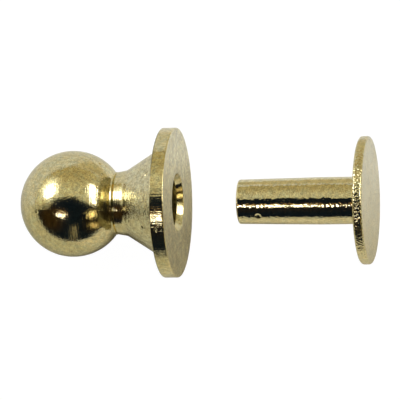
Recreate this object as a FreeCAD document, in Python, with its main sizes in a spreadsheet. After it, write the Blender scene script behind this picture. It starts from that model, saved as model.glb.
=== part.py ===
"""Ball stud with its drive rivet, the two-piece closure that holds straps and flaps in leatherwork.

Two turned and plated pieces share one axis, the X axis. The stud's flange lies against the outside
of the leather. The rivet goes through the leather from the inside, and its post is driven into the
stud's blind bore until the head pulls the leather tight.

Frame: the origin is the centre of the flange's face, +X runs along the axis towards the rivet, and
+Z is up. The pieces lie on their side, with the rivet drawn out of the bore and in line with it.
Sizes are in millimetres. "Depth" is a distance from the flange's face into the stud, towards -X.
"""
import FreeCAD, Part
import Sketcher
import os

PARTS_FOLDER = "parts"
TOLERANCE = 1e-5

# What Sketcher calls the origin, the two axes and the points of an edge.
ORIGIN = (-1, 1)
HORIZONTAL_AXIS = -1
VERTICAL_AXIS = -2
START = 1
END = 2
CENTRE = 3

SIZES = {
    # Stud: a ball on a neck that flares into a round flange.
    "flange_diameter": 10.0,
    "flange_thickness": 0.94,
    "flange_edge_radius": 0.08,
    "cone_base_diameter": 7.48,
    "neck_foot_diameter": 4.41,
    "neck_foot_depth": 3.37,
    "neck_top_diameter": 4.12,
    "ball_diameter": 7.1,
    "ball_centre_depth": 7.13,
    "neck_root_radius": 0.2,
    "neck_foot_radius": 0.8,
    "cone_foot_radius": 0.1,
    # Stud: the blind bore that grips the post.
    "bore_diameter": 3.18,
    "bore_depth": 5.5,
    "drill_point_angle": 118.0,
    # Stud: the wider start of the bore, which guides the post's tip in.
    "lead_in_diameter": 3.4,
    "lead_in_depth": 0.9,
    "countersink_diameter": 3.9,
    "countersink_angle": 62.0,
    # Rivet: a flat round head on a post.
    "head_diameter": 8.5,
    "head_thickness": 0.67,
    "head_outer_edge_radius": 0.2,
    "head_inner_edge_radius": 0.2,
    "post_length": 8.15,
    "post_root_radius": 0.15,
    "shank_diameter": 3.14,
    "drive_length": 5.5,
    "tip_diameter": 2.95,
    "tip_chamfer": 0.12,
    # How far the rivet is drawn out: from the flange's face to the tip of the post.
    "drawn_out": 4.18,
}

# Where the ball's surface meets the top of the neck, as a depth.
BALL_TO_NECK_DEPTH = (
    "(dims.ball_centre_depth - sqrt((dims.ball_diameter / 2)^2 - (dims.neck_top_diameter / 2)^2))"
)


def make_sheet(doc):
    """The driving dimensions, one alias to a row."""
    sheet = doc.addObject("Spreadsheet::Sheet", "dims")
    for row, (alias, value) in enumerate(SIZES.items(), start=1):
        sheet.set(f"A{row}", alias.replace("_", " "))
        sheet.set(f"B{row}", str(value))
        sheet.setAlias(f"B{row}", alias)
    doc.recompute()
    return sheet


def make_body(doc, name):
    body = doc.addObject("PartDesign::Body", name)
    body.Label = name
    body.Placement = FreeCAD.Placement()
    return body


def value_of(doc, expression):
    """The number that an expression on the sheet gives."""
    return float(doc.dims.evalExpression(expression))


def pin_to_axis(sketch, edge, point, axis):
    sketch.addConstraint(Sketcher.Constraint("PointOnObject", edge, point, axis))


def drive_distance(sketch, kind, first, second, name, expression):
    """Dimensions the way from one point of the sketch to another from the sheet."""
    value = value_of(sketch.Document, expression)
    index = sketch.addConstraint(Sketcher.Constraint(kind, *first, *second, value))
    sketch.renameConstraint(index, name)
    sketch.setExpression(f"Constraints.{name}", expression)


def place_corner(sketch, edge, point, side, name, along, radius):
    """Fixes a corner of a half-section: its distance along the axis, then from the axis."""
    corner = (edge, point)
    if abs(value_of(sketch.Document, along)) < TOLERANCE:
        pin_to_axis(sketch, edge, point, VERTICAL_AXIS)
    elif side < 0:
        drive_distance(sketch, "DistanceX", corner, ORIGIN, name + "_along", along)
    else:
        drive_distance(sketch, "DistanceX", ORIGIN, corner, name + "_along", along)
    if abs(value_of(sketch.Document, radius)) < TOLERANCE:
        pin_to_axis(sketch, edge, point, HORIZONTAL_AXIS)
    else:
        drive_distance(sketch, "DistanceY", ORIGIN, corner, name + "_radius", radius)


def ball_arc(start, end):
    """The arc between two corners above the axis whose centre is on the axis."""
    along = (end.x**2 + end.y**2 - start.x**2 - start.y**2) / (2 * (end.x - start.x))
    centre = FreeCAD.Vector(along, 0, 0)
    arm = (start - centre) + (end - centre)
    middle = centre + arm.normalize() * (start - centre).Length
    return Part.Arc(start, middle, end)


def half_section(body, name, side, corners, arc_into=None):
    """A closed outline in the XY plane, to be turned about the X axis.

    corners maps each corner's name to two expressions: its distance from the flange's face, which
    is towards +X or -X as side says, and its radius. Straight edges join them in order. The edge
    that ends at the corner named arc_into is an arc centred on the axis.
    """
    doc = body.Document
    sketch = body.newObject("Sketcher::SketchObject", name)
    plane = next(item for item in body.Origin.OriginFeatures if item.Role == "XY_Plane")
    sketch.AttachmentSupport = [(plane, "")]
    sketch.MapMode = "FlatFace"
    points = [
        FreeCAD.Vector(side * value_of(doc, along), value_of(doc, radius), 0)
        for along, radius in corners.values()
    ]
    names = list(corners)
    ends = []
    for number, end in enumerate(points):
        start = points[number - 1]
        if names[number] != arc_into:
            edge = sketch.addGeometry(Part.LineSegment(start, end), False)
            ends.append((edge, START, END))
            continue
        arc = ball_arc(start, end)
        edge = sketch.addGeometry(arc, False)
        pin_to_axis(sketch, edge, CENTRE, HORIZONTAL_AXIS)
        starts_here = sketch.getPoint(edge, START).isEqual(start, TOLERANCE)
        ends.append((edge, START, END) if starts_here else (edge, END, START))
    for number, (corner, (along, radius)) in enumerate(corners.items()):
        edge, _, last = ends[number]
        next_edge, first, _ = ends[(number + 1) % len(ends)]
        sketch.addConstraint(Sketcher.Constraint("Coincident", edge, last, next_edge, first))
        place_corner(sketch, edge, last, side, corner, along, radius)
    return sketch


def turn(body, kind, name, sketch):
    """A Revolution or a Groove of the sketch, a full turn about the X axis."""
    feature = body.newObject(f"PartDesign::{kind}", name)
    feature.Profile = sketch
    feature.ReferenceAxis = (sketch, ["H_Axis"])
    feature.Angle = 360
    body.Document.recompute()
    return feature


def ring_edge(feature, along, radius):
    """The name of the circular edge with this place on the X axis and this radius."""
    for number, edge in enumerate(feature.Shape.Edges, start=1):
        curve = edge.Curve
        if not isinstance(curve, Part.Circle):
            continue
        if abs(curve.Center.x - along) < TOLERANCE and abs(curve.Radius - radius) < TOLERANCE:
            return f"Edge{number}"
    raise ValueError(f"{feature.Name} has no circular edge at {along} with radius {radius}")


def dress_edge(body, kind, name, size, along, radius):
    """A Fillet or a Chamfer on the circular edge at this place on the X axis with this radius."""
    doc = body.Document
    base = body.Tip
    edge = ring_edge(base, value_of(doc, along), value_of(doc, radius))
    feature = body.newObject(f"PartDesign::{kind}", name)
    feature.Base = (base, [edge])
    feature.setExpression("Radius" if kind == "Fillet" else "Size", size)
    doc.recompute()
    return feature


def make_ball_stud(doc):
    """Ball, neck, cone and flange turned in one piece, with a blind countersunk bore."""
    body = make_body(doc, "ball_stud")
    blank = half_section(body, "stud_section", -1, {
        "face_centre": ("0", "0"),
        "face_rim": ("0", "dims.flange_diameter / 2"),
        "back_rim": ("dims.flange_thickness", "dims.flange_diameter / 2"),
        "cone_base": ("dims.flange_thickness", "dims.cone_base_diameter / 2"),
        "neck_foot": ("dims.neck_foot_depth", "dims.neck_foot_diameter / 2"),
        "neck_top": (BALL_TO_NECK_DEPTH, "dims.neck_top_diameter / 2"),
        "ball_pole": ("dims.ball_centre_depth + dims.ball_diameter / 2", "0"),
    }, arc_into="ball_pole")
    turn(body, "Revolution", "turned_blank", blank)

    bore = half_section(body, "bore_section", -1, {
        "mouth_centre": ("0", "0"),
        "mouth_edge": ("0", "dims.countersink_diameter / 2"),
        "lead_in_mouth": (
            "(dims.countersink_diameter - dims.lead_in_diameter) / 2 / tan(dims.countersink_angle / 2)",
            "dims.lead_in_diameter / 2",
        ),
        "lead_in_end": ("dims.lead_in_depth", "dims.lead_in_diameter / 2"),
        "bore_mouth": (
            "dims.lead_in_depth"
            " + (dims.lead_in_diameter - dims.bore_diameter) / 2 / tan(dims.drill_point_angle / 2)",
            "dims.bore_diameter / 2",
        ),
        "bore_floor": ("dims.bore_depth", "dims.bore_diameter / 2"),
        "drill_point": (
            "dims.bore_depth + dims.bore_diameter / 2 / tan(dims.drill_point_angle / 2)",
            "0",
        ),
    })
    turn(body, "Groove", "blind_bore", bore)

    flange_radius = "dims.flange_diameter / 2"
    for name, size, along, radius in [
        ("neck_root", "dims.neck_root_radius", BALL_TO_NECK_DEPTH, "dims.neck_top_diameter / 2"),
        ("neck_foot", "dims.neck_foot_radius", "dims.neck_foot_depth", "dims.neck_foot_diameter / 2"),
        ("cone_foot", "dims.cone_foot_radius", "dims.flange_thickness", "dims.cone_base_diameter / 2"),
        ("back_edge", "dims.flange_edge_radius", "dims.flange_thickness", flange_radius),
        ("face_edge", "dims.flange_edge_radius", "0", flange_radius),
    ]:
        dress_edge(body, "Fillet", name, size, f"-({along})", radius)
    return body


def make_rivet(doc):
    """A flat round head and a post: a straight shank under the head, then a tapered drive end."""
    body = make_body(doc, "rivet")
    tip = "dims.drawn_out"
    head_inside = f"{tip} + dims.post_length"
    head_outside = f"{head_inside} + dims.head_thickness"
    head_radius = "dims.head_diameter / 2"
    blank = half_section(body, "rivet_section", 1, {
        "tip_centre": (tip, "0"),
        "tip_edge": (tip, "dims.tip_diameter / 2"),
        "shank_start": (f"{tip} + dims.drive_length", "dims.shank_diameter / 2"),
        "shank_root": (head_inside, "dims.shank_diameter / 2"),
        "head_inner_rim": (head_inside, head_radius),
        "head_outer_rim": (head_outside, head_radius),
        "head_centre": (head_outside, "0"),
    })
    turn(body, "Revolution", "headed_blank", blank)
    for kind, name, size, along, radius in [
        ("Fillet", "post_root", "dims.post_root_radius", head_inside, "dims.shank_diameter / 2"),
        ("Fillet", "inner_edge", "dims.head_inner_edge_radius", head_inside, head_radius),
        ("Fillet", "outer_edge", "dims.head_outer_edge_radius", head_outside, head_radius),
        ("Chamfer", "tip_lead", "dims.tip_chamfer", tip, "dims.tip_diameter / 2"),
    ]:
        dress_edge(body, kind, name, size, along, radius)
    return body


def check_features(doc):
    """Stops on any failed object, and on a groove, fillet or chamfer that changed nothing."""
    for item in doc.Objects:
        if "Invalid" in item.State or "Error" in item.State:
            raise RuntimeError(f"{item.Name} failed: {item.State}")
        if item.isDerivedFrom("Sketcher::SketchObject") and item.solve() != 0:
            raise RuntimeError(f"{item.Name} doesn't solve")
        if item.TypeId in ("PartDesign::Groove", "PartDesign::Fillet", "PartDesign::Chamfer"):
            if abs(item.Shape.Volume - item.BaseFeature.Shape.Volume) < TOLERANCE:
                raise RuntimeError(f"{item.Name} changed nothing")


def write_steps(bodies):
    """One STEP file a sub-part, once every shape is known to be good."""
    for body in bodies:
        shape = body.Shape
        if shape.isNull() or not shape.isValid() or len(shape.Solids) != 1:
            raise RuntimeError(f"{body.Label} isn't one valid solid")
    os.makedirs(PARTS_FOLDER, exist_ok=True)
    for body in bodies:
        box = body.Shape.BoundBox
        body.Shape.exportStep(os.path.join(PARTS_FOLDER, body.Label + ".step"))
        print(f"{body.Label}: {body.Shape.Volume:.2f} mm3, x {box.XMin:.3f} to {box.XMax:.3f}")


def main():
    doc = FreeCAD.newDocument("ball_stud_and_rivet")
    make_sheet(doc)
    bodies = [make_ball_stud(doc), make_rivet(doc)]
    doc.recompute()
    check_features(doc)
    write_steps(bodies)


main()
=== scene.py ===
"""The looks of the ball stud and its rivet: two turned, plated and polished brass pieces.

Both pieces are bodies of revolution about the X axis. Each is a lathe mesh from an outline with small
rounded edges, and its surface has the unevenness of a real piece: plating waves, tool rings and pits.
Lengths are in metres; MM and MICRON turn other sizes into metres.
"""
import math

import bmesh
import bpy
from mathutils import Matrix, Vector, noise


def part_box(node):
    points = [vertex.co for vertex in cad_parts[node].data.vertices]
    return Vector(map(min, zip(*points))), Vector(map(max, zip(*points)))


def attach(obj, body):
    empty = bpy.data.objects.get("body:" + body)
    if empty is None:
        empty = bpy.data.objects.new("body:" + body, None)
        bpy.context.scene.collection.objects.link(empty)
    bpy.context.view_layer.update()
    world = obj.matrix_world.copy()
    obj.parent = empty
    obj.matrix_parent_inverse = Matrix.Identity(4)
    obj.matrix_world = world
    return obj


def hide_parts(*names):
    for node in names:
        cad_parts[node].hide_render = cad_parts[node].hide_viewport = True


MM = 0.001
MICRON = 0.000001

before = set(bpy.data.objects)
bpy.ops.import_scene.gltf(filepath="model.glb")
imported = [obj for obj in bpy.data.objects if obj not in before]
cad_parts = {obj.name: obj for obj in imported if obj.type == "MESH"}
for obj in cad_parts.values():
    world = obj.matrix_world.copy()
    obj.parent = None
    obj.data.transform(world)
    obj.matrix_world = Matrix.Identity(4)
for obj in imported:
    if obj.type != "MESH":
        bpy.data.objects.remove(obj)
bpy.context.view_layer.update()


# ---------------------------------------------------------------- finishes


class Finish:
    """How one surface was made.

    step is the spacing of the mesh along the outline, and waves the height and length of the plating's
    waves, which are part of the mesh. lines says which way the tool's fine lines run, how high they are
    and how many there are to a millimetre: they run "round" the axis, "along" it or in "circles" on a
    flat face, and there are small "pebbles" instead of lines, or "none". grain is the height of the fine
    orange-peel grain. Lines and grain are in the material, with the roughness and the colour: speckle is
    how many light and dark spots there are to a millimetre and how strong they are, painted shade is the
    share by which the plate's colour is made darker on the flange's back and in the bore, and paleness
    how far its colour goes towards silver. Steps and lengths are in millimetres, heights in microns.
    """

    def __init__(self, step, waves, lines, grain, roughness, speckle=(4.0, 1.0), painted_shade=0.0,
                 paleness=0.0):
        self.step = step * MM
        self.wave_height = waves[0] * MICRON
        self.wave_length = waves[1] * MM
        self.line_direction, self.line_height, self.lines_per_mm = lines
        self.grain = grain
        self.roughness = roughness
        self.speckles_per_mm, self.speckle_strength = speckle
        self.painted_shade = painted_shade
        self.paleness = paleness


FINISHES = {
    "ball": Finish(0.10, (6.0, 0.40), ("round", 8.0, 12.0), 8.0, 0.11, (4.0, 1.2)),
    "foot": Finish(0.02, (2.0, 0.30), ("round", 6.0, 12.0), 6.0, 0.12),
    "neck": Finish(0.03, (6.0, 0.30), ("round", 10.0, 14.0), 8.0, 0.11, paleness=0.1),
    "cone": Finish(0.08, (6.0, 0.25), ("round", 7.0, 12.0), 14.0, 0.14, (4.0, 1.7), paleness=0.3),
    # The flange's back has painted shade: its colour is made darker by half.
    "back": Finish(0.15, (6.0, 0.50), ("circles", 6.0, 8.0), 6.0, 0.14, painted_shade=0.5),
    "rim": Finish(0.10, (12.0, 0.40), ("along", 14.0, 7.0), 9.0, 0.12, (4.0, 1.2)),
    "face": Finish(0.15, (8.0, 0.60), ("circles", 16.0, 9.0), 28.0, 0.18, (1.8, 1.4), paleness=0.1),
    "mouth": Finish(0.06, (6.0, 0.40), ("round", 6.0, 10.0), 7.0, 0.10),
    # The bore has painted shade: its colour is made darker by three tenths.
    "bore": Finish(0.10, (3.0, 0.60), ("round", 12.0, 8.0), 8.0, 0.18, painted_shade=0.3),
    "post": Finish(0.06, (4.0, 0.20), ("pebbles", 12.0, 6.0), 5.0, 0.09, paleness=0.15),
    "post_end": Finish(0.15, (8.0, 0.30), ("none", 0.0, 0.0), 20.0, 0.60, paleness=0.3),
    "head_rim": Finish(0.03, (18.0, 0.11), ("pebbles", 46.0, 8.0), 7.0, 0.07, paleness=0.1),
    "head_face": Finish(0.25, (8.0, 1.20), ("none", 0.0, 0.0), 20.0, 0.17, (1.5, 0.7), paleness=0.1),
}
FINISH_NAMES = list(FINISHES)


# ---------------------------------------------------------------- outlines

# The arc that rounds a corner: its longest step, and the fewest steps it has.
ARC_STEP = math.radians(9)
FEWEST_ARC_STEPS = 4


def straight(start, end, step):
    """Points along a line, both ends included, no further apart than step."""
    count = max(1, math.ceil((end - start).length / step))
    return [start.lerp(end, i / count) for i in range(count + 1)]


def rounded_corner(before, corner, after, radius):
    """Points of the arc of this radius that rounds a corner between two lines."""
    to_before = (before - corner).normalized()
    to_after = (after - corner).normalized()
    half = to_before.angle(to_after) / 2
    setback = radius / math.tan(half)
    centre = corner + (to_before + to_after).normalized() * radius / math.sin(half)
    first = corner + to_before * setback - centre
    last = corner + to_after * setback - centre
    turn = first.angle_signed(last)
    count = max(FEWEST_ARC_STEPS, math.ceil(abs(turn) / ARC_STEP))
    points = []
    for i in range(count + 1):
        spin = Matrix.Rotation(-turn * i / count, 2)
        points.append(centre + spin @ first)
    return points


def outline(corners):
    """Points along an outline with rounded corners, and the finish of each stretch between two.

    corners is a list of (x, radius, rounding, finish) in millimetres: where the corner is, the radius
    that rounds it, and the finish of the stretch that leaves it.
    """
    places = [Vector(corner[:2]) * MM for corner in corners]
    points, finishes = [places[0]], []
    for number in range(1, len(corners)):
        finish = corners[number - 1][3]
        rounding = corners[number][2] * MM
        arc = [places[number]]
        if rounding > 0:
            arc = rounded_corner(places[number - 1], places[number], places[number + 1], rounding)
        run = straight(points[-1], arc[0], FINISHES[finish].step)[1:]
        points += run + arc[1:]
        finishes += [finish] * (len(run) + len(arc) - 1)
    return points, finishes


def ball_arc(centre, radius, start, end, finish):
    """Points of the ball's arc between two angles from its pole, and the finish of each stretch."""
    count = math.ceil((end - start) * radius / FINISHES[finish].step)
    points = []
    for i in range(count + 1):
        angle = start + (end - start) * i / count
        points.append(Vector((centre - radius * math.cos(angle), radius * math.sin(angle))))
    return points, [finish] * count


# ---------------------------------------------------------------- lathe

# How many points the mesh has round the axis, and how near to the axis a point counts as on it.
SEGMENTS = 384
ON_AXIS = 1e-9
# Where the tool's lines run along the axis, the waves' X is scaled by this, which makes them long.
ALONG_SCALE = 0.12
# Tool rings on the neck: their height, how far apart they are, and how much one changes in a turn.
RING_HEIGHT = 6 * MICRON
RING_SPACING = 0.075 * MM
RING_CHANGE = 0.4
# How many rows on either side of a point its depth is averaged over, to blend one finish into the next.
BLEND_ROWS = 3
# How far a pit's bowl goes, in half widths, and how far the mesh is made finer, in widths.
BOWL_REACH = 2
FINER_REACH = 1.5


def outward(points, number):
    """The direction that points out of the metal at this point of the outline."""
    before = points[max(number - 1, 0)]
    after = points[min(number + 1, len(points) - 1)]
    along = (after - before).normalized()
    return Vector((-along.y, along.x))


def wave_depth(place, finish):
    """How deep a plating wave lies here under the true surface."""
    scale = Vector((ALONG_SCALE, 1, 1)) if finish.line_direction == "along" else Vector((1, 1, 1))
    height = noise.noise(place * scale / finish.wave_length)
    return finish.wave_height * (1 - height) / 2


def ring_depth(place, radius):
    """How deep a tool ring lies here under the true surface."""
    turn = place.yz / radius * RING_CHANGE
    height = noise.noise((place.x / RING_SPACING, turn.x, turn.y))
    return RING_HEIGHT * (1 - height) / 2


def depth_at(place, radius, rows):
    """The depth here, averaged over the finishes of the rows around."""
    depth = 0
    for name in rows:
        depth += wave_depth(place, FINISHES[name])
        if name == "neck":
            depth += ring_depth(place, radius)
    return depth / len(rows)


def turned_point(point, normal, angle, rows):
    """A point of the outline at this angle round the axis, pressed in by its waves and rings."""
    spoke = Vector((0, math.cos(angle), math.sin(angle)))
    place = Vector((point.x, 0, 0)) + spoke * point.y
    depth = depth_at(place, max(point.y, RING_SPACING), rows)
    return place - (Vector((normal.x, 0, 0)) + spoke * normal.y) * depth


def faces_between(first, second):
    """The faces between two rings of points, one of which may be a single point on the axis."""
    faces = []
    for i in range(SEGMENTS):
        j = (i + 1) % SEGMENTS
        if len(first) == 1:
            faces.append((first[0], second[j], second[i]))
        elif len(second) == 1:
            faces.append((first[i], first[j], second[0]))
        else:
            faces.append((first[i], first[j], second[j], second[i]))
    return faces


def lathe(name, points, finishes, materials):
    """A mesh turned about the X axis from an outline that starts and ends on the axis."""
    verts, faces, slots, rings = [], [], [], []
    for number, point in enumerate(points):
        normal = outward(points, number)
        rows = finishes[max(number - BLEND_ROWS, 0):number + BLEND_ROWS]
        count = 1 if point.y < ON_AXIS else SEGMENTS
        rings.append(range(len(verts), len(verts) + count))
        for i in range(count):
            verts.append(turned_point(point, normal, math.tau * i / SEGMENTS, rows))
    for number, finish in enumerate(finishes):
        row = faces_between(rings[number], rings[number + 1])
        faces += row
        slots += [FINISH_NAMES.index(finish)] * len(row)
    mesh = bpy.data.meshes.new(name)
    mesh.from_pydata(verts, [], faces)
    for material in materials:
        mesh.materials.append(material)
    mesh.polygons.foreach_set("material_index", slots)
    mesh.polygons.foreach_set("use_smooth", [True] * len(faces))
    mesh.validate()
    mesh.update()
    piece = bpy.data.objects.new(name, mesh)
    bpy.context.scene.collection.objects.link(piece)
    return piece


def press_pits(piece, pits):
    """Presses small round bowls into a piece, on a mesh made finer around them.

    pits is a list of (x, radius from the axis, degrees round it from +Y to +Z, width, depth), in
    millimetres.
    """
    mesh = bmesh.new()
    mesh.from_mesh(piece.data)
    for x, radius, degrees, width, depth in pits:
        angle = math.radians(degrees)
        spoke = Vector((0, math.cos(angle), math.sin(angle)))
        centre = (Vector((x, 0, 0)) + spoke * radius) * MM
        across = width * MM
        edges = [edge for edge in mesh.edges
                 if all((vert.co - centre).length < FINER_REACH * across for vert in edge.verts)]
        bmesh.ops.subdivide_edges(mesh, edges=edges, cuts=2, use_grid_fill=True)
        mesh.normal_update()
        for vert in mesh.verts:
            distance = (vert.co - centre).length / (across / 2)
            if distance < BOWL_REACH:
                vert.co -= vert.normal * depth * MM * math.exp(-(distance ** 4))
    mesh.to_mesh(piece.data)
    mesh.free()


# ---------------------------------------------------------------- materials


class Nodes:
    """A short way to write a node tree: each call adds a node and returns its output."""

    def __init__(self, tree):
        self.tree = tree
        self.tree.nodes.clear()

    def add(self, kind, inputs=(), output=0, **settings):
        node = self.tree.nodes.new(kind)
        for key, value in settings.items():
            setattr(node, key, value)
        for key, value in dict(inputs).items():
            if isinstance(value, bpy.types.NodeSocket):
                self.tree.links.new(value, node.inputs[key])
            else:
                node.inputs[key].default_value = value
        return node.outputs[output] if node.outputs else None

    def math(self, operation, *values):
        return self.add("ShaderNodeMath", dict(enumerate(values)), operation=operation)

    def vector(self, operation, *values):
        output = "Value" if operation in ("DOT_PRODUCT", "LENGTH") else 0
        return self.add("ShaderNodeVectorMath", dict(enumerate(values)), output, operation=operation)

    def combine(self, x, y, z):
        return self.add("ShaderNodeCombineXYZ", {0: x, 1: y, 2: z})

    def ramp(self, value, low, high, to_low=0.0, to_high=1.0):
        inputs = {0: value, 1: low, 2: high, 3: to_low, 4: to_high}
        return self.add("ShaderNodeMapRange", inputs, interpolation_type="SMOOTHSTEP")

    def mix(self, share, first, second, blend="MIX"):
        inputs = {"Factor": share, 6: first, 7: second}
        return self.add("ShaderNodeMix", inputs, 2, data_type="RGBA", blend_type=blend)

    def noise(self, place, scale, detail=2.0):
        return self.add("ShaderNodeTexNoise", {"Vector": place, "Scale": scale, "Detail": detail})


# The plating's own colour, its cool and warm tints, the silver that it goes towards where it is pale,
# and the brown of its stains, pinholes and hairlines.
PLATE = (0.80, 0.70, 0.39, 1)
PLATE_COOL = (0.74, 0.69, 0.42, 1)
PLATE_WARM = (0.83, 0.69, 0.35, 1)
PLATE_PALE = (0.80, 0.76, 0.60, 1)
TARNISH = (0.36, 0.28, 0.14, 1)
# How much of the warm tint and of the brown there is at most.
WARM_SHARE = 0.7
STAIN_SHARE = 0.3
PINHOLE_SHARE = 0.8
HAIRLINE_SHARE = 0.35
# How far a speckle of strength 1 goes to either side of the colour, in its coarse and its fine spots,
# and how many times finer the fine ones are.
COARSE_SPECKLE = 0.16
FINE_SPECKLE = 0.28
FINE_TO_COARSE = 3.7
# How much rougher the dull patches are than the bright ones.
DULL_ROUGHNESS = 0.06

# The grain, to a millimetre, and how slowly lines along the axis change from end to end.
GRAIN_PER_MM = 7.0
ALONG_PER_MM = 0.3
LINE_DETAIL = 3.0
PEBBLE_DETAIL = 0.5
# Hairlines come from a noise that is stretched along the axis. Depths are in microns.
HAIRLINE_TURN = (0.4, 0.5, 0.9)
HAIRLINE_SCALE = (0.25, 2.6, 2.6)
HAIRLINE_WIDTH = 0.012
HAIRLINE_DEPTH = 0.5
# Only the cells whose chance is above this have a pinhole. Sizes are in shares of a cell.
PINHOLE_CELLS_PER_MM = 1.6
PINHOLE_CHANCE = 0.72
PINHOLE_SMALLEST = 0.05
PINHOLE_SPREAD = 0.11
PINHOLE_DEPTH = 4.0


def tool_lines(nodes, place, finish):
    """Noise in fine lines that run round the axis, along it or in circles on a face, or in pebbles."""
    if finish.line_direction == "pebbles":
        return nodes.noise(place, finish.lines_per_mm, PEBBLE_DETAIL)
    split = nodes.add("ShaderNodeSeparateXYZ", {0: place}).node.outputs
    flat = nodes.combine(0.0, split[1], split[2])
    radius = nodes.vector("LENGTH", flat)
    turn = nodes.add("ShaderNodeSeparateXYZ", {0: nodes.vector("NORMALIZE", flat)}).node.outputs
    if finish.line_direction == "along":
        x = nodes.math("MULTIPLY", split[0], ALONG_PER_MM)
        y = nodes.math("MULTIPLY", split[1], finish.lines_per_mm)
        z = nodes.math("MULTIPLY", split[2], finish.lines_per_mm)
        return nodes.noise(nodes.combine(x, y, z), 1.0, LINE_DETAIL)
    across = split[0] if finish.line_direction == "round" else radius
    fine = nodes.math("MULTIPLY", across, finish.lines_per_mm)
    return nodes.noise(nodes.combine(fine, turn[1], turn[2]), 1.0, LINE_DETAIL)


def hairlines(nodes, place):
    """Where the hairlines are, from 0 to 1: thin level lines of a stretched noise, here and there."""
    stretched = nodes.add("ShaderNodeMapping", {
        "Vector": place,
        "Rotation": HAIRLINE_TURN,
        "Scale": HAIRLINE_SCALE,
    })
    level = nodes.math("ABSOLUTE", nodes.math("SUBTRACT", nodes.noise(stretched, 1.0, 1.0), 0.5))
    some = nodes.ramp(nodes.noise(place, 0.7), 0.52, 0.62)
    return nodes.math("MULTIPLY", nodes.ramp(level, HAIRLINE_WIDTH, 0.0), some)


def pinholes(nodes, place):
    """Where the pinholes are, from 0 to 1: round spots of many sizes, in some cells of a pattern."""
    cells = nodes.add("ShaderNodeTexVoronoi", {"Vector": place, "Scale": PINHOLE_CELLS_PER_MM})
    chance = nodes.add("ShaderNodeSeparateColor", {0: cells.node.outputs["Color"]})
    chosen = nodes.math("GREATER_THAN", chance, PINHOLE_CHANCE)
    other = chance.node.outputs["Green"]
    size = nodes.math("MULTIPLY_ADD", other, PINHOLE_SPREAD, PINHOLE_SMALLEST)
    spot = nodes.ramp(nodes.math("DIVIDE", cells, size), 1.0, 0.4)
    return nodes.math("MULTIPLY", spot, chosen)


def moved_noise(nodes, place, shift, per_mm, detail):
    """Noise that is moved aside, so that it doesn't follow the other patterns."""
    return nodes.noise(nodes.vector("ADD", place, shift), per_mm, detail)


def speckle_and_painted_shade(nodes, place, finish):
    """How light the plate's colour is here: coarse and fine spots, and the finish's painted shade, which
    darkens the flange's back and the bore.
    """
    coarse_part = COARSE_SPECKLE * finish.speckle_strength
    fine_part = FINE_SPECKLE * finish.speckle_strength
    coarse = moved_noise(nodes, place, (2, 9, 4), finish.speckles_per_mm, 3.0)
    fine = moved_noise(nodes, place, (5, 1, 2), finish.speckles_per_mm * FINE_TO_COARSE, 2.0)
    shade = nodes.math("MULTIPLY", nodes.ramp(coarse, 0.25, 0.75, 1 - coarse_part, 1 + coarse_part),
                       nodes.ramp(fine, 0.2, 0.8, 1 - fine_part, 1 + fine_part))
    # Painted shade: the colour of the flange's back and of the bore is made darker here.
    return nodes.math("MULTIPLY", shade, 1 - finish.painted_shade)


def plate_colour(nodes, place, finish, pinhole, hairline):
    """Cool and warm patches, a light and dark speckle, the painted shade of the flange's back and the
    bore, and the brown of stains and small flaws.
    """
    cool = nodes.ramp(nodes.noise(place, 2.4, 5.0), 0.42, 0.60)
    warm = nodes.ramp(moved_noise(nodes, place, (7, 3, 5), 3.2, 5.0), 0.45, 0.65)
    colour = nodes.mix(cool, PLATE, PLATE_COOL)
    colour = nodes.mix(nodes.math("MULTIPLY", warm, WARM_SHARE), colour, PLATE_WARM)
    colour = nodes.mix(finish.paleness, colour, PLATE_PALE)
    shade = speckle_and_painted_shade(nodes, place, finish)
    colour = nodes.mix(1.0, colour, nodes.combine(shade, shade, shade), "MULTIPLY")
    stain = nodes.ramp(moved_noise(nodes, place, (1, 6, 8), 2.0, 4.0), 0.66, 0.72)
    flaws = [(stain, STAIN_SHARE), (pinhole, PINHOLE_SHARE), (hairline, HAIRLINE_SHARE)]
    for flaw, share in flaws:
        colour = nodes.mix(nodes.math("MULTIPLY", flaw, share), colour, TARNISH)
    return colour


def plated_metal(name, finish):
    """Pale gold plating on turned brass: mottled, grained, with tool lines, hairlines and pinholes."""
    material = bpy.data.materials.new(name)
    material.use_nodes = True
    nodes = Nodes(material.node_tree)
    metres = nodes.add("ShaderNodeTexCoord", output="Object")
    place = nodes.add("ShaderNodeVectorMath", {0: metres, "Scale": 1 / MM}, operation="SCALE")

    # The fine unevenness, in microns.
    height = nodes.math("MULTIPLY", nodes.noise(place, GRAIN_PER_MM, 4.0), finish.grain)
    if finish.line_direction != "none":
        lines = tool_lines(nodes, place, finish)
        height = nodes.math("MULTIPLY_ADD", lines, finish.line_height, height)
    hairline = hairlines(nodes, place)
    height = nodes.math("MULTIPLY_ADD", hairline, -HAIRLINE_DEPTH, height)
    pinhole = pinholes(nodes, place)
    height = nodes.math("MULTIPLY_ADD", pinhole, -PINHOLE_DEPTH, height)
    bump = nodes.add("ShaderNodeBump", {"Strength": 1.0, "Distance": MICRON, "Height": height})

    dull = nodes.ramp(nodes.noise(place, 0.9, 4.0), 0.35, 0.7)
    least_rough = finish.roughness - DULL_ROUGHNESS / 2
    shader = nodes.add("ShaderNodeBsdfPrincipled", {
        "Base Color": plate_colour(nodes, place, finish, pinhole, hairline),
        "Metallic": 1.0,
        "Roughness": nodes.math("MULTIPLY_ADD", dull, DULL_ROUGHNESS, least_rough),
        "Normal": bump,
    })
    nodes.add("ShaderNodeOutputMaterial", {"Surface": shader})
    return material


# ---------------------------------------------------------------- pieces


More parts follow.
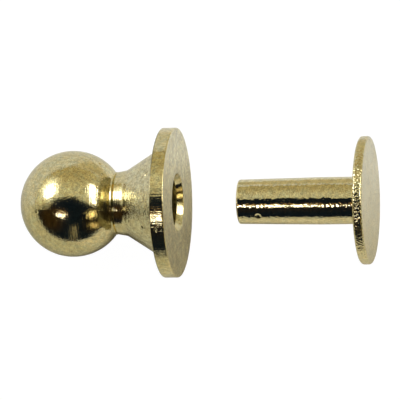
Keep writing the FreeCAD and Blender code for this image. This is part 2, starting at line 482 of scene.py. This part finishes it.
# The CAD's sizes in millimetres, where they aren't taken from its boxes. X is 0 at the flange's face,
# negative towards the ball and positive towards the rivet's head.
BALL_RADIUS = 3.55
BALL_FOOT_X = -4.275
NECK_FOOT_X = -3.37
FLANGE_BACK_X = -0.94
FLANGE_RADIUS = 5
MOUTH_RADIUS = 1.95
MOUTH_END_X = -0.416
LEAD_IN_RADIUS = 1.70
LEAD_IN_END_X = -0.90
BORE_RADIUS = 1.59
BORE_START_X = -0.966
BORE_FLOOR_X = -5.5
DRILL_POINT_X = -6.455
TIP_RADIUS = 1.475
TAPER_END_X = 9.68
POST_RADIUS = 1.57
HEAD_INNER_X = 12.33
HEAD_EDGE = 0.2
# How wide the finely meshed edge of the head's inner face is, and how much of the ball's arc before
# its foot is meshed as finely as the foot, in radians.
HEAD_FINE_BAND = 0.25
FOOT_ANGLE = 0.02
# Pits, in the form that press_pits takes.
STUD_PITS = [
    (-7.47, 3.53, 24, 0.16, 0.03),
    (-5.88, 3.32, 29, 0.14, 0.03),
    (-4.73, 2.62, 42, 0.16, 0.03),
    (-5.05, 2.88, 24, 0.22, 0.04),
    (-4.72, 2.61, 17, 0.16, 0.03),
    (-8.96, 3.04, 100, 0.18, 0.02),
    (-1.84, 3.17, 46, 0.26, 0.04),
    (-1.61, 3.32, 57, 0.18, 0.03),
    (-1.82, 3.18, 120, 0.24, 0.04),
    (-0.58, 5.00, 111, 0.22, 0.05),
    (0.00, 4.53, 25, 0.30, 0.02),
    (0.00, 4.68, 13, 0.26, 0.02),
    (0.00, 3.73, 351, 0.34, 0.02),
    (0.00, 4.33, 208, 0.30, 0.02),
    (0.00, 4.28, 188, 0.36, 0.02),
]
RIVET_PITS = [
    (5.60, 1.50, 130, 0.34, 0.05),
]


def make_stud(materials):
    """Ball, neck with a fine groove at its foot, cone and flange, and the hole in the flange."""
    low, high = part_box("ball_stud")
    flange_radius = high.z / MM
    ball_radius = BALL_RADIUS * MM
    centre = low.x + ball_radius
    foot = math.acos((centre - BALL_FOOT_X * MM) / ball_radius)
    ball, ball_finish = ball_arc(centre, ball_radius, 0, foot - FOOT_ANGLE, "ball")
    edge, edge_finish = ball_arc(centre, ball_radius, foot - FOOT_ANGLE, foot, "foot")
    body, body_finish = outline([
        (*(edge[-1] / MM), 0, "foot"),
        # A fine V groove between two small ridges.
        (-4.235, 2.065, 0.01, "foot"),
        (-4.125, 2.095, 0.02, "foot"),
        (-4.06, 1.94, 0.01, "foot"),
        (-3.98, 2.095, 0.02, "neck"),
        # The foot of the neck, the cone and the flange.
        (NECK_FOOT_X, 2.205, 0.8, "cone"),
        (FLANGE_BACK_X, 3.74, 0.1, "back"),
        (FLANGE_BACK_X, flange_radius, 0.08, "rim"),
        (0, flange_radius, 0.08, "face"),
        # The hole: its countersunk mouth, the lead-in, the bore and the drill point.
        (0, MOUTH_RADIUS, 0.07, "mouth"),
        (MOUTH_END_X, LEAD_IN_RADIUS, 0.02, "bore"),
        (LEAD_IN_END_X, LEAD_IN_RADIUS, 0.02, "bore"),
        (BORE_START_X, BORE_RADIUS, 0.02, "bore"),
        (BORE_FLOOR_X, BORE_RADIUS, 0, "bore"),
        (DRILL_POINT_X, 0, 0, "bore"),
    ])
    points = ball + edge[1:] + body[1:]
    finishes = ball_finish + edge_finish + body_finish
    stud = lathe("stud_plated", points, finishes, materials)
    press_pits(stud, STUD_PITS)
    return stud


def make_rivet(materials):
    """Tapered post with a flat head, whose rim is rounded."""
    low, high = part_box("rivet")
    head_radius = high.z / MM
    points, finishes = outline([
        (low.x / MM, 0, 0, "post_end"),
        (low.x / MM, TIP_RADIUS, 0.1, "post"),
        (TAPER_END_X, POST_RADIUS, 0, "post"),
        (HEAD_INNER_X, POST_RADIUS, 0.15, "head_face"),
        (HEAD_INNER_X, head_radius - HEAD_FINE_BAND, 0, "head_rim"),
        (HEAD_INNER_X, head_radius, HEAD_EDGE, "head_rim"),
        (high.x / MM, head_radius, HEAD_EDGE, "head_face"),
        (high.x / MM, 0, 0, "head_face"),
    ])
    rivet = lathe("rivet_plated", points, finishes, materials)
    press_pits(rivet, RIVET_PITS)
    return rivet


materials = [plated_metal("plate_" + name, finish) for name, finish in FINISHES.items()]
stud = make_stud(materials)
rivet = make_rivet(materials)
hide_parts("ball_stud")
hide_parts("rivet")
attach(stud, "stud")
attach(rivet, "rivet")


# ---------------------------------------------------------------- camera

CAMERA_LEAN = math.radians(11.16)
CAMERA_ROLL = math.radians(0.72)
CAMERA_LENS_MM = 331.7
CAMERA_DISTANCE = 0.2452
CAMERA_SEES_FROM = 0.01
CAMERA_SEES_TO = 10
# What the picture's centre shows: a point just past the flange's face.
CAMERA_AIM = Vector((1.50 * MM, 0.15 * MM, 0))

TO_CAMERA = Vector((math.sin(CAMERA_LEAN), 0, math.cos(CAMERA_LEAN)))
PICTURE_UP = Vector((0, 1, 0))
PICTURE_RIGHT = PICTURE_UP.cross(TO_CAMERA)


def make_camera():
    """The camera at the photo's viewing angle: it looks down and leans a little towards the rivet."""
    data = bpy.data.cameras.new("camera")
    data.lens = CAMERA_LENS_MM
    data.clip_start = CAMERA_SEES_FROM
    data.clip_end = CAMERA_SEES_TO
    camera = bpy.data.objects.new("camera", data)
    bpy.context.scene.collection.objects.link(camera)
    level = Matrix((PICTURE_RIGHT, PICTURE_UP, TO_CAMERA)).transposed()
    facing = level @ Matrix.Rotation(-CAMERA_ROLL, 3, "Z")
    place = CAMERA_AIM + TO_CAMERA * CAMERA_DISTANCE
    camera.matrix_world = Matrix.Translation(place) @ facing.to_4x4()
    bpy.context.scene.camera = camera


make_camera()


# ---------------------------------------------------------------- floor and light

FLOOR_SIZE = 2.0
# A stud that lies on a table touches it with its ball and with the back edge of its flange, so the
# floor leans by this much from the part's own XY plane.
FLOOR_LEAN = math.radians(12.43)
FLANGE_FOOT = Vector((FLANGE_BACK_X * MM, 0, -FLANGE_RADIUS * MM))
WHITE = (1, 1, 1, 1)
# The white that the camera sees on the paper, and how much of it: the rest is the lit paper with its
# painted shade.
PAPER_LIGHT = 1.1
PAPER_LIGHT_SHARE = 0.9
# Painted shade: the paper's colour is darker and warmer from far to near and from right to left, over
# these stretches of its Y and X.
PAPER_NEAR_LEFT = (0.57, 0.56, 0.45, 1)
PAPER_NEAR_RIGHT = (0.74, 0.71, 0.60, 1)
PAPER_FAR_LEFT = (0.70, 0.71, 0.73, 1)
PAPER_FAR_RIGHT = (0.82, 0.84, 0.88, 1)
PAPER_SHADE_Y = (-7 * MM, 5 * MM)
PAPER_SHADE_X = (-5 * MM, 1 * MM)
# Behind the rivet the paper has a painted warm shade in its colour from this Y on.
PAPER_BEHIND = (0.60, 0.54, 0.38, 1)
PAPER_BEHIND_Y = (8 * MM, 14 * MM)


def make_floor():
    """Pale paper, lit so that it is plain white in the picture, with painted shade in the colour that
    the metal mirrors, and open when seen from below.
    """
    half = FLOOR_SIZE / 2
    mesh = bpy.data.meshes.new("floor")
    mesh.from_pydata([(-half, -half, 0), (half, -half, 0), (half, half, 0), (-half, half, 0)],
                     [], [(0, 1, 2, 3)])
    floor = bpy.data.objects.new("floor", mesh)
    bpy.context.scene.collection.objects.link(floor)
    floor.location = FLANGE_FOOT
    floor.rotation_euler = (0, FLOOR_LEAN, 0)
    material = bpy.data.materials.new("floor")
    material.use_nodes = True
    nodes = Nodes(material.node_tree)
    place = nodes.add("ShaderNodeTexCoord", output="Object")
    split = nodes.add("ShaderNodeSeparateXYZ", {0: place}).node.outputs
    # Painted shade in the paper's colour, seen mostly in what the metal mirrors.
    right = nodes.ramp(split[0], *PAPER_SHADE_X)
    near = nodes.mix(right, PAPER_NEAR_LEFT, PAPER_NEAR_RIGHT)
    far = nodes.mix(right, PAPER_FAR_LEFT, PAPER_FAR_RIGHT)
    colour = nodes.mix(nodes.ramp(split[1], *PAPER_SHADE_Y), near, far)
    behind = nodes.math("MULTIPLY", right, nodes.ramp(split[1], *PAPER_BEHIND_Y))
    colour = nodes.mix(behind, colour, PAPER_BEHIND)
    paper = nodes.add("ShaderNodeBsdfDiffuse", {"Color": colour})
    bright = nodes.add("ShaderNodeEmission", {"Color": WHITE, "Strength": PAPER_LIGHT})
    open_below = nodes.add("ShaderNodeBsdfTransparent")
    camera_ray = nodes.add("ShaderNodeLightPath", output="Is Camera Ray")
    share = nodes.math("MULTIPLY", camera_ray, PAPER_LIGHT_SHARE)
    top = nodes.add("ShaderNodeMixShader", {0: share, 1: paper, 2: bright})
    from_below = nodes.add("ShaderNodeNewGeometry", output="Backfacing")
    surface = nodes.add("ShaderNodeMixShader", {0: from_below, 1: top, 2: open_below})
    nodes.add("ShaderNodeOutputMaterial", {"Surface": surface})
    mesh.materials.append(material)


make_floor()


def in_picture(x, y):
    """The direction towards the camera's side that lies at this place in the picture's own frame."""
    return PICTURE_RIGHT * x + PICTURE_UP * y + TO_CAMERA * math.sqrt(1 - x * x - y * y)


def glow(nodes, room, place, half_width, half_height, softness, light):
    """Adds a soft-edged oval light, sized in degrees, to the room around."""
    direction = nodes.add("ShaderNodeTexCoord", output="Generated")
    towards = in_picture(*place)
    tall = (PICTURE_UP - towards * PICTURE_UP.dot(towards)).normalized()
    wide = tall.cross(towards)
    across = nodes.vector("DOT_PRODUCT", direction, wide / math.sin(math.radians(half_width)))
    along = nodes.vector("DOT_PRODUCT", direction, tall / math.sin(math.radians(half_height)))
    distance = nodes.vector("LENGTH", nodes.combine(across, along, 0.0))
    inside = nodes.ramp(distance, 1 + softness, 1 - softness)
    front = nodes.math("GREATER_THAN", nodes.vector("DOT_PRODUCT", direction, towards), 0.0)
    return nodes.mix(nodes.math("MULTIPLY", inside, front), room, (*light, 1))


# Where the dark near side of the room begins: its edge's height in the picture's frame, from left to
# right.
DARK_EDGE = [(-1, -0.14), (-0.80, -0.11), (-0.73, 0.08), (-0.46, 0.215), (-0.36, 0.245), (-0.2, 0.25),
             (0, 0.27), (0.19, 0.22), (0.39, 0.08), (0.55, 0.0), (0.75, -0.04), (1.0, -0.15)]
DARK_EDGE_BLUR = 0.03
ROOM_NEAR = (0.005, 0.009, 0.016, 1)
ROOM_FAR = (0.57, 0.54, 0.39, 1)
ROOM_FARTHEST = (0.43, 0.37, 0.21, 1)
ROOM_HORIZON = (0.60, 0.60, 0.58, 1)
# What is laid over the room, from first to last: its place in the picture's frame, half its width and
# half its height in degrees, how soft its edge is, and its light.
GLOWS = [
    # Two brownish patches in the dark, and a dim upright strip.
    ((-0.75, -0.45), 24, 24, 0.6, (0.030, 0.017, 0.005)),
    ((0.70, -0.50), 20, 24, 0.6, (0.020, 0.013, 0.004)),
    ((0.02, -0.914), 3.0, 20, 0.3, (0.36, 0.32, 0.21)),
    # The left lamp with the pale light round it, and the tall right lamp.
    ((-0.74, 0.50), 17, 18, 0.6, (1.5, 1.45, 1.25)),
    ((-0.752, 0.42), 11, 13, 0.2, (6.0, 6.2, 6.8)),
    ((0.72, 0.315), 8, 20, 0.15, (6.5, 6.3, 6.1)),
    # Glints in the dark: a white one with brown round it on the left, and two gold ones on the right.
    ((-0.43, -0.36), 8, 7, 0.4, (0.50, 0.30, 0.10)),
    ((-0.430, -0.40), 5.6, 2.7, 0.3, (8.0, 8.0, 8.2)),
    ((0.654, -0.375), 8, 6, 0.4, (2.0, 1.6, 0.8)),
    ((0.64, -0.68), 11, 4, 0.4, (0.9, 0.7, 0.33)),
]


def dark_edge_height(nodes, right):
    """The height of the dark side's edge for a direction this far to the right."""
    # The curve goes from 0 to 1 both ways, and directions go from -1 to 1.
    value = nodes.math("MULTIPLY_ADD", right, 0.5, 0.5)
    edge = nodes.add("ShaderNodeFloatCurve", {"Value": value})
    mapping = edge.node.mapping
    points = [(0.5 + x / 2, 0.5 + y / 2) for x, y in DARK_EDGE]
    mapping.curves[0].points[0].location = points[0]
    mapping.curves[0].points[1].location = points[-1]
    for point in points[1:-1]:
        mapping.curves[0].points.new(*point)
    mapping.update()
    return nodes.math("MULTIPLY_ADD", edge, 2.0, -1.0)


def make_world():
    """The room that the metal mirrors: warm and pale on the far side, dark on the near side."""
    world = bpy.data.worlds.new("studio")
    bpy.context.scene.world = world
    world.use_nodes = True
    nodes = Nodes(world.node_tree)
    direction = nodes.add("ShaderNodeTexCoord", output="Generated")
    right = nodes.vector("DOT_PRODUCT", direction, PICTURE_RIGHT)
    up = nodes.vector("DOT_PRODUCT", direction, PICTURE_UP)
    height = nodes.vector("DOT_PRODUCT", direction, TO_CAMERA)

    far_side = nodes.mix(nodes.ramp(up, 0.95, 0.45), ROOM_FARTHEST, ROOM_FAR)
    above = nodes.math("SUBTRACT", up, dark_edge_height(nodes, right))
    room = nodes.mix(nodes.ramp(above, -DARK_EDGE_BLUR, DARK_EDGE_BLUR), ROOM_NEAR, far_side)
    for place, half_width, half_height, softness, light in GLOWS:
        room = glow(nodes, room, place, half_width, half_height, softness, light)

    # Just above the floor's own horizon the room is as pale as the floor.
    room = nodes.mix(nodes.ramp(height, -0.01, 0.05), ROOM_HORIZON, room)
    lighting = nodes.add("ShaderNodeBackground", {"Color": room})
    seen = nodes.add("ShaderNodeBackground", {"Color": WHITE})
    camera_ray = nodes.add("ShaderNodeLightPath", output="Is Camera Ray")
    surface = nodes.add("ShaderNodeMixShader", {0: camera_ray, 1: lighting, 2: seen})
    nodes.add("ShaderNodeOutputWorld", {"Surface": surface})


make_world()


KEY_PLACE = (-0.005, 0.100, 0.220)
KEY_WIDTH = 0.10
KEY_WATTS = 0.165


def make_key_light():
    """The soft light from the far side that brightens the floor and gives it its shadows."""
    data = bpy.data.lights.new("key", "AREA")
    data.shape = "DISK"
    data.size = KEY_WIDTH
    data.energy = KEY_WATTS
    key = bpy.data.objects.new("key", data)
    bpy.context.scene.collection.objects.link(key)
    key.location = KEY_PLACE
    key.rotation_euler = (-key.location).to_track_quat("-Z", "Y").to_euler()
    key.visible_glossy = False
    key.visible_camera = False


make_key_light()
bpy.context.scene.view_settings.view_transform = "Standard"
